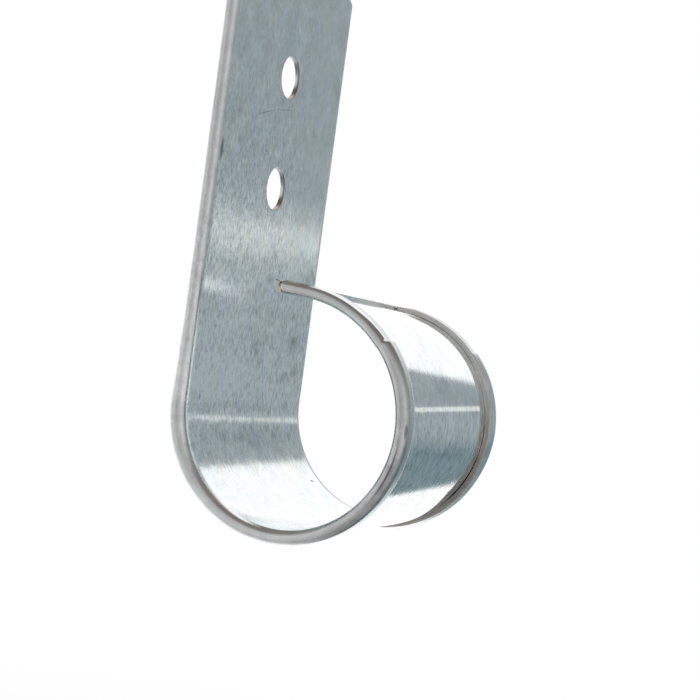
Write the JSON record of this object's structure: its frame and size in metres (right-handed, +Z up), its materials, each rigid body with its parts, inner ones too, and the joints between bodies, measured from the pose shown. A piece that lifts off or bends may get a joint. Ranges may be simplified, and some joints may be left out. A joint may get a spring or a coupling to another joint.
{
  "type": "loop cable hanger",
  "caption": "Galvanised steel strap with hemmed edges and two screw holes, rolled at its foot into an open round loop that carries a bundle of cables.",
  "frame": {"origin": "middle of the screw holes, on the strap's back face", "axes": "+Z up along the strap, +Y towards the wall that the strap is screwed to, X along the loop's axis"},
  "size_m": [0.0414, 0.0374, 0.0883],
  "materials": {
    "galvanised_steel": "galvanised sheet with fine lengthwise rolling streaks"
  },
  "bodies": {
    "root": {"cable_hanger": "galvanised_steel"}
  },
  "joints": []
}
